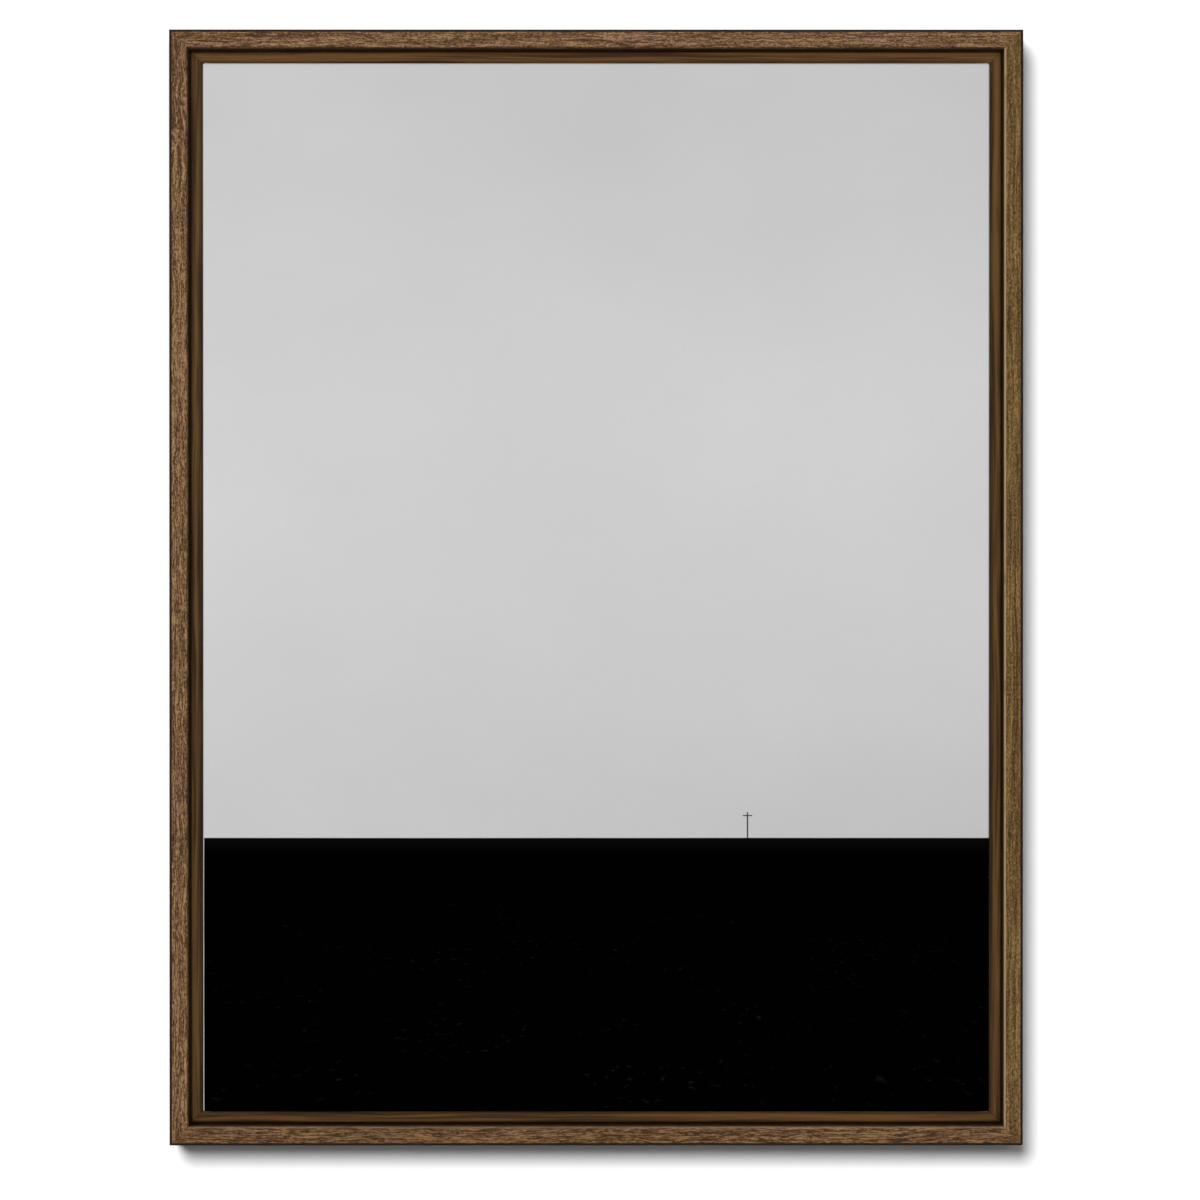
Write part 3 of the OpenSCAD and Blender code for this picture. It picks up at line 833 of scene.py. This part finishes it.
def makeCanvas():
    look = clothLook
    low, high = canvasLow.copy(), canvasHigh.copy()
    high.y -= 0.02 * mm
    xs, inwards = clothLines(low.x, high.x)
    zs, inwards = clothLines(low.z, high.z)
    ys = depthLines(low.y, high.y)
    lastX, lastY, lastZ = len(xs) - 1, len(ys) - 1, len(zs) - 1
    hemLines = len(inwards) - 1
    fold = look["fold"]
    inner = (Vector([c + fold for c in low]), Vector([c - fold for c in high]))
    middleX, middleZ = (low.x + high.x) / 2, (low.z + high.z) / 2

    def inIndex(i, last):        # lines in from the nearer edge
        return min(i, last - i)

    def fromEdges(i, k):         # how far in a point lies from the nearer side and the nearer end
        return min(xs[i] - low.x, high.x - xs[i]), min(zs[k] - low.z, high.z - zs[k])

    def pleat(inX, inZ):         # the top and bottom flaps lie over the side flaps
        raised = look["flapOver"] * smoothStep(inZ, 17.2 * mm, 20 * mm)
        return raised * (1 - smoothStep(inX - inZ, 0, 26 * mm))

    def curl(run, inward, seed):     # between staples the raw edge lifts
        wave = 0.5 - 0.5 * math.cos(2 * math.pi * run / look["staplePitch"])
        lift = smoothStep(inward, look["stapleIn"] - 2 * mm, look["hem"])
        return (0.20 + 0.75 * wave) * mm * lift * (0.7 + 0.3 * math.sin(run * 37 + seed))

    def put(i, j, k, flap):
        sharp = Vector((xs[i], ys[j], zs[k]))
        held = Vector([min(max(c, a), b) for c, a, b in zip(sharp, inner[0], inner[1])])
        away = sharp - held
        at = held + away.normalized() * fold
        inX, inZ = fromEdges(i, k)
        if j == lastY:
            overTop = flap == "level"
            inward, run = (inZ, at.x) if overTop else (inX, at.z)
            if inward <= look["hem"] + 1e-6:
                at.y += curl(run, inward, 1.3 if overTop else 4.1)
                if overTop:
                    at.y += pleat(inX, inZ)
                if inward > look["hem"] - 0.1 * mm:      # the cut edge isn't quite straight
                    drift = 0.45 * mm * math.sin(run * 31 + 2) + 0.25 * mm * math.sin(run * 97)
                    if overTop:
                        at.z += drift * (1 if at.z > middleZ else -1)
                    else:
                        at.x += drift * (1 if at.x > middleX else -1)
        elif j == 0:
            near = min(inX, inZ)
            run = at.x if inZ < inX else at.z
            pull = math.cos(2 * math.pi * run / look["staplePitch"]) * look["pull"]
            at.y += pull * smoothStep(near, 2 * mm, 8 * mm) * (1 - smoothStep(near, 10 * mm, 45 * mm))
            slack = look["pull"] * math.sin(at.x * 19 + 1) * math.sin(at.z * 15)
            at.y += slack * smoothStep(near, 10 * mm, 60 * mm)
        if k in (0, lastZ) and 0 < j < lastY:       # folded corner under the top and bottom flaps
            depth = ys[j] - low.y
            rise = look["cornerRise"] * smoothStep(depth - inX * 0.9, -1 * mm, 3 * mm)
            rise *= smoothStep(inX, 0.3 * mm, 1.0 * mm)
            at.z += rise * (1 if k else -1) * (1 - smoothStep(depth, 29 * mm, 32.5 * mm))
        return at

    def flat(i, j, k, panel):      # where a point lay before the cloth was folded
        depth = ys[j] - low.y
        inX, inZ = fromEdges(i, k)
        if panel == "front":
            return xs[i], zs[k]
        if panel in ("left", "right"):
            out = high.x + depth + (inX if j == lastY else 0)
            return (out if panel == "right" else -out), zs[k]
        out = high.z + depth + (inZ if j == lastY else 0)
        return xs[i], (out if panel == "top" else -out)

    def build(shape):
        made = {}
        layer = shape.loops.layers.uv.new("flatCloth")

        def vertex(i, j, k, panel):
            inI, inK = inIndex(i, lastX), inIndex(k, lastZ)
            onDiagonal = j == lastY and inI == inK and inwards[min(inI, hemLines)] > look["pressed"]
            flap = "level" if panel in ("top", "bottom") else "upright"
            if j == lastY and not onDiagonal:
                flap = "level" if inK < inI else "upright"
                if inK == inI:
                    flap = "upright"
            key = (i, j, k, flap if onDiagonal else "")
            if key not in made:
                made[key] = shape.verts.new(put(i, j, k, flap))
            return made[key]

        def face(corners, panel):
            used, where = [], []
            for corner in corners:
                found = vertex(*corner, panel)
                if found not in used:
                    used.append(found)
                    where.append(flat(*corner, panel))
            if len(used) < 3:
                return
            made = shape.faces.new(used)
            for loop, uv in zip(made.loops, where):
                loop[layer].uv = uv

        for i in range(lastX):
            for k in range(lastZ):
                face([(i, 0, k), (i + 1, 0, k), (i + 1, 0, k + 1), (i, 0, k + 1)], "front")
        for j in range(lastY):
            for k in range(lastZ):
                for i, panel in ((0, "left"), (lastX, "right")):
                    face([(i, j, k), (i, j + 1, k), (i, j + 1, k + 1), (i, j, k + 1)], panel)
            for i in range(lastX):
                for k, panel in ((0, "bottom"), (lastZ, "top")):
                    face([(i, j, k), (i + 1, j, k), (i + 1, j + 1, k), (i, j + 1, k)], panel)
        for i in range(lastX):
            for k in range(lastZ):
                inI = min(i, lastX - 1 - i)
                inK = min(k, lastZ - 1 - k)
                if inI >= hemLines and inK >= hemLines:
                    continue
                levelPanel = "bottom" if k < lastZ / 2 else "top"
                uprightPanel = "left" if i < lastX / 2 else "right"
                quad = [(i, lastY, k), (i + 1, lastY, k), (i + 1, lastY, k + 1), (i, lastY, k + 1)]
                if inI != inK:
                    face(quad, levelPanel if inK < inI else uprightPanel)
                    continue
                # the mitre runs through this cell, from its outer corner to its inner one
                outerI, innerI = (i, i + 1) if i < lastX / 2 else (i + 1, i)
                outerK, innerK = (k, k + 1) if k < lastZ / 2 else (k + 1, k)
                outer, inside = (outerI, lastY, outerK), (innerI, lastY, innerK)
                face([outer, (innerI, lastY, outerK), inside], levelPanel)
                face([outer, (outerI, lastY, innerK), inside], uprightPanel)
                ends = [vertex(*outer, levelPanel), vertex(*inside, levelPanel),
                        vertex(*inside, uprightPanel), vertex(*outer, uprightPanel)]
                step = list(dict.fromkeys(ends))
                if len(step) > 2:
                    shape.faces.new(step)

    mesh = meshFrom("canvasCloth", build, sharp=50)
    mesh.materials.append(printedCanvas())
    mesh.materials.append(rawCanvas())
    cloth = addPiece("canvas_cloth", mesh, None, "root")
    thicken = cloth.modifiers.new("thickness", "SOLIDIFY")
    thicken.thickness = look["thick"]
    thicken.offset = -1
    thicken.material_offset = 1
    thicken.material_offset_rim = 1
    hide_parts("canvas")


makeCanvas()
print("canvas folded over its bars")


# staples
stapleLook = {"width": 0.9 * mm, "thick": 0.6 * mm, "bend": 0.7 * mm, "leg": 8 * mm, "turn": 3.0}


def stapleRows(node):        # middle of each staple, found from the CAD row
    points = [v.co.copy() for v in nodes[node].data.vertices]
    low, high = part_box(node)
    axis = 0 if high.x - low.x > high.z - low.z else 2
    points.sort(key=lambda p: p[axis])
    groups = [[points[0]]]
    for p in points[1:]:
        if p[axis] - groups[-1][-1][axis] > 15 * mm:
            groups.append([])
        groups[-1].append(p)
    found = []
    for group in groups:
        ends = [(min(p[i] for p in group), max(p[i] for p in group)) for i in range(3)]
        found.append((Vector([(a + b) / 2 for a, b in ends]), ends[axis][1] - ends[axis][0]))
    return axis, found


def makeStaples(side, rnd):
    look = stapleLook
    node = "staples_" + side
    axis, rows = stapleRows(node)
    hemBack = canvasHigh.y

    def build(shape):
        for middle, span in rows:
            half, bend = span / 2 - look["width"] / 2, look["bend"]
            crownY = hemBack + look["thick"] / 2 + rnd.uniform(-0.05, 0.0) * mm
            path = [Vector((-half, hemBack - look["leg"] * 0.98, 0)), Vector((-half, hemBack - 2 * mm, 0))]
            for k in range(5):
                angle = math.radians(180 - 22.5 * k)
                overX, overY = bend * math.cos(angle), bend * math.sin(angle)
                path.append(Vector((-half + bend + overX, crownY - bend + overY, 0)))
            bow = [Vector((half * s, crownY + 0.06 * mm * (1 - s * s), 0)) for s in (-0.5, 0, 0.5)]
            path += bow + [Vector((-p.x, p.y, p.z)) for p in reversed(path)]
            turn = Matrix.Rotation(math.radians(rnd.uniform(-look["turn"], look["turn"])), 4, "Y")
            if axis == 2:
                turn = Matrix.Rotation(math.radians(90), 4, "Y") @ turn
            base = Vector((middle.x, 0, middle.z))
            path = [turn @ p + base for p in path]
            across = (turn @ Vector((0, 0, 1))).normalized()
            rings = []
            for i, here in enumerate(path):
                ahead = (path[min(i + 1, len(path) - 1)] - path[max(i - 1, 0)]).normalized()
                up = ahead.cross(across).normalized()
                w, t = look["width"] / 2, look["thick"] / 2
                outline = [(w, t * 0.55), (w * 0.7, t), (-w * 0.7, t), (-w, t * 0.55),
                           (-w, -t * 0.55), (-w * 0.7, -t), (w * 0.7, -t), (w, -t * 0.55)]
                rings.append([shape.verts.new(here + across * a + up * b) for a, b in outline])
            joinRings(shape, rings)
            shape.faces.new(list(reversed(rings[0])))
            shape.faces.new(rings[-1])

    mesh = meshFrom("staples", build, sharp=60)
    row = addPiece("staple_row_" + side, mesh, steelFinish, "root")
    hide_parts(node)


staplePlaces = random.Random(12)
for side in sides:
    makeStaples(side, staplePlaces)
print("staples driven")


# screws, measured in millimetres; each head is a list of radius and height
canvasScrew = {
    "head": [(0, 3.0), (1.7, 3.0), (2.3, 2.92), (2.8, 2.7), (3.15, 2.35), (3.35, 1.9), (3.4, 1.5),
             (3.42, 1.12), (3.6, 1.0), (4.6, 1.0), (4.85, 0.92), (5.0, 0.7), (5.0, 0.12), (4.9, 0.0),
             (2.0, 0.0)],
    "radius": 2.0, "length": 25, "neck": 9, "pitch": 1.8, "recess": 2.35, "recessDeep": 1.9,
}
strapScrew = {
    "head": [(0, 2.0), (1.5, 2.0), (2.1, 1.92), (2.6, 1.72), (2.95, 1.4), (3.2, 0.9), (3.3, 0.4),
             (3.3, 0.1), (3.2, 0.0), (1.75, 0.0)],
    "radius": 1.75, "length": 9, "neck": 2.0, "pitch": 1.4, "recess": 1.85, "recessDeep": 1.4,
}


def screwMesh(name, look):       # the head rises along +Z and the shank runs down
    def build(shape):
        turns = 28
        lathe(shape, [(r * mm, h * mm) for r, h in look["head"]], turns)
        shank = look["radius"] * mm
        base = [v for v in shape.verts if abs(v.co.z) < 1e-9 and abs(v.co.xy.length - shank) < 1e-6]
        base.sort(key=lambda v: math.atan2(v.co.y, v.co.x) % (2 * math.pi))
        rings = [base]
        root, pitch = look["radius"] * 0.72, look["pitch"]
        rows = round((look["length"] - look["neck"]) / (pitch / 7))
        rings.append([shape.verts.new((v.co.x, v.co.y, -look["neck"] * mm)) for v in base])
        for row in range(1, rows + 1):
            down = look["neck"] + (look["length"] - look["neck"]) * row / rows
            taper = min(1, (look["length"] - down) / (2.2 * look["radius"]))
            ring = []
            for i in range(turns):
                phase = ((down / pitch) - i / turns) % 1
                crest = max(0, 1 - abs(phase - 0.5) / 0.32) ** 0.8
                start = min(1, (down - look["neck"]) / pitch)
                radius = (root + (look["radius"] - root) * crest * start) * taper ** 0.75
                if start < 1:
                    radius = max(radius, look["radius"] * (1 - start) + root * start)
                angle = 2 * math.pi * i / turns
                where = (radius * mm * math.cos(angle), radius * mm * math.sin(angle), -down * mm)
                ring.append(shape.verts.new(where))
            if row == rows:
                tip = shape.verts.new((0, 0, -look["length"] * mm))
                for v in ring:
                    shape.verts.remove(v)
                ring = [tip] * turns
            rings.append(ring)
        joinRings(shape, rings)

    def buildCross(shape):
        size, deep, top = look["recess"] * mm, look["recessDeep"] * mm, look["head"][0][1] * mm
        for turn in (0, 90):
            made = bmesh.ops.create_cube(shape, size=1)["verts"]
            for v in made:
                shrink = 1 if v.co.z > 0 else 0.42
                v.co = Vector((v.co.x * 2 * size * shrink, v.co.y * size * 0.40 * (1 if v.co.z > 0 else 0.7),
                               top + (0.2 * mm if v.co.z > 0 else -deep)))
            bmesh.ops.rotate(shape, verts=made, matrix=Matrix.Rotation(math.radians(turn), 3, "Z"))

    plain = meshFrom(name + "Plain", build)
    cross = meshFrom(name + "Cross", buildCross)
    body = bpy.data.objects.new(name + "Plain", plain)
    cutter = bpy.data.objects.new(name + "Cross", cross)
    for part in (body, cutter):
        bpy.context.scene.collection.objects.link(part)
    cut = body.modifiers.new("recess", "BOOLEAN")
    cut.operation = "DIFFERENCE"
    cut.solver = "EXACT"
    cut.use_self = True
    cut.object = cutter
    shaped = bpy.data.meshes.new_from_object(body.evaluated_get(bpy.context.evaluated_depsgraph_get()))
    for part in (body, cutter):
        bpy.data.objects.remove(part)
    shape = bmesh.new()
    shape.from_mesh(shaped)
    bmesh.ops.remove_doubles(shape, verts=shape.verts, dist=0.004 * mm)
    for face in shape.faces:
        face.smooth = True
    for edge in shape.edges:
        edge.smooth = not (len(edge.link_faces) == 2 and edge.calc_face_angle(0) > math.radians(38))
    mesh = bpy.data.meshes.new(name)
    shape.to_mesh(mesh)
    shape.free()
    return mesh


def setScrews(prefix, mesh, finish, headBase, rnd):
    mesh.materials.append(finish)
    for name in sorted(n for n in nodes if n.startswith(prefix)):
        low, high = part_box(name)
        piece = bpy.data.objects.new(name.replace(prefix, prefix + "turned_"), mesh)
        bpy.context.scene.collection.objects.link(piece)
        spin = Matrix.Rotation(rnd.uniform(0, 2 * math.pi), 4, "Z")
        stand = Matrix.Rotation(math.radians(-90), 4, "X")       # the head faces the wall
        middle = Vector(((low.x + high.x) / 2, headBase, (low.z + high.z) / 2))
        piece.matrix_world = Matrix.Translation(middle) @ stand @ spin
        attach(piece, "root")
        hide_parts(name)


screwTurns = random.Random(7)
strapThick = 1.6 * mm
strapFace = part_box("hanger_strap_left")[0].y + strapThick
longScrew = screwMesh("canvasScrew", canvasScrew)
setScrews("canvas_screw_", longScrew, zincFinish, railBack, screwTurns)
shortScrew = screwMesh("hangerScrew", strapScrew)
setScrews("hanger_screw_", shortScrew, nickelFinish, strapFace, screwTurns)
print("screws turned")


# rings and bumpers; lean is in degrees
ringLook = {"wire": 1.3 * mm, "half": 9 * mm, "bend": 2.2 * mm, "arm": 3 * mm, "lean": 4}


def ringPath(look):
    half, bend, arm = look["half"], look["bend"], look["arm"]
    path = [Vector((s * (half - bend), 0, 0)) for s in (-1, -0.6, -0.2, 0.2, 0.6)]
    for k in range(9):
        angle = math.radians(90 - 11.25 * k)
        path.append(Vector((half - bend + bend * math.cos(angle), 0, -bend + bend * math.sin(angle))))
    for k in range(41):
        angle = math.radians(-180 * k / 40)
        path.append(Vector((half * math.cos(angle), 0, -bend - arm + half * math.sin(angle))))
    for k in range(8):
        angle = math.radians(180 - 11.25 * k)
        path.append(Vector((bend - half + bend * math.cos(angle), 0, -bend + bend * math.sin(angle))))
    return path


def makeRing(joint):
    look = ringLook
    body = joint["child"]
    node = "hanger_" + body
    lean = Matrix.Rotation(math.radians(look["lean"]), 4, "X")
    stand = Matrix.Translation(Vector(joint["pos_m"])) @ lean

    def build(shape):
        sweep(shape, [stand @ p for p in ringPath(look)], circleOutline(look["wire"], 20), closed=True)

    ring = addPiece("wire_" + body, meshFrom("ring", build), nickelFinish, body)
    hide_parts(node)


def makeBumper(node):
    low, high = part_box(node)
    radius, height = (high.x - low.x) / 2, high.y - low.y
    crown = [(radius * (0.70 + 0.30 * math.cos(a)), height * (0.30 + 0.70 * math.sin(a)))
             for a in [math.radians(9 * k) for k in range(11)]]
    foot = [(0, 0), (radius * 0.96, 0), (radius, height * 0.05), (radius, height * 0.18)]
    profile = foot + crown + [(0, height)]

    def build(shape):
        lathe(shape, profile, 48)
        stand = Matrix.Rotation(math.radians(-90), 4, "X")
        middle = Vector(((low.x + high.x) / 2, low.y, (low.z + high.z) / 2))
        bmesh.ops.transform(shape, verts=shape.verts, matrix=Matrix.Translation(middle) @ stand)

    bumper = addPiece(node.replace("wall_bumper", "moulded_bumper"), meshFrom("bumper", build), rubberFinish,
                      "root")
    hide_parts(node)


for joint in frame["joints"]:
    makeRing(joint)
for name in sorted(n for n in nodes if n.startswith("wall_bumper")):
    makeBumper(name)
print("rings and bumpers made")

for piece in bpy.data.objects:      # the frame's own lights leave the wall alone
    if piece.type == "MESH" and piece.name != "wall":
        litPieces.objects.link(piece)
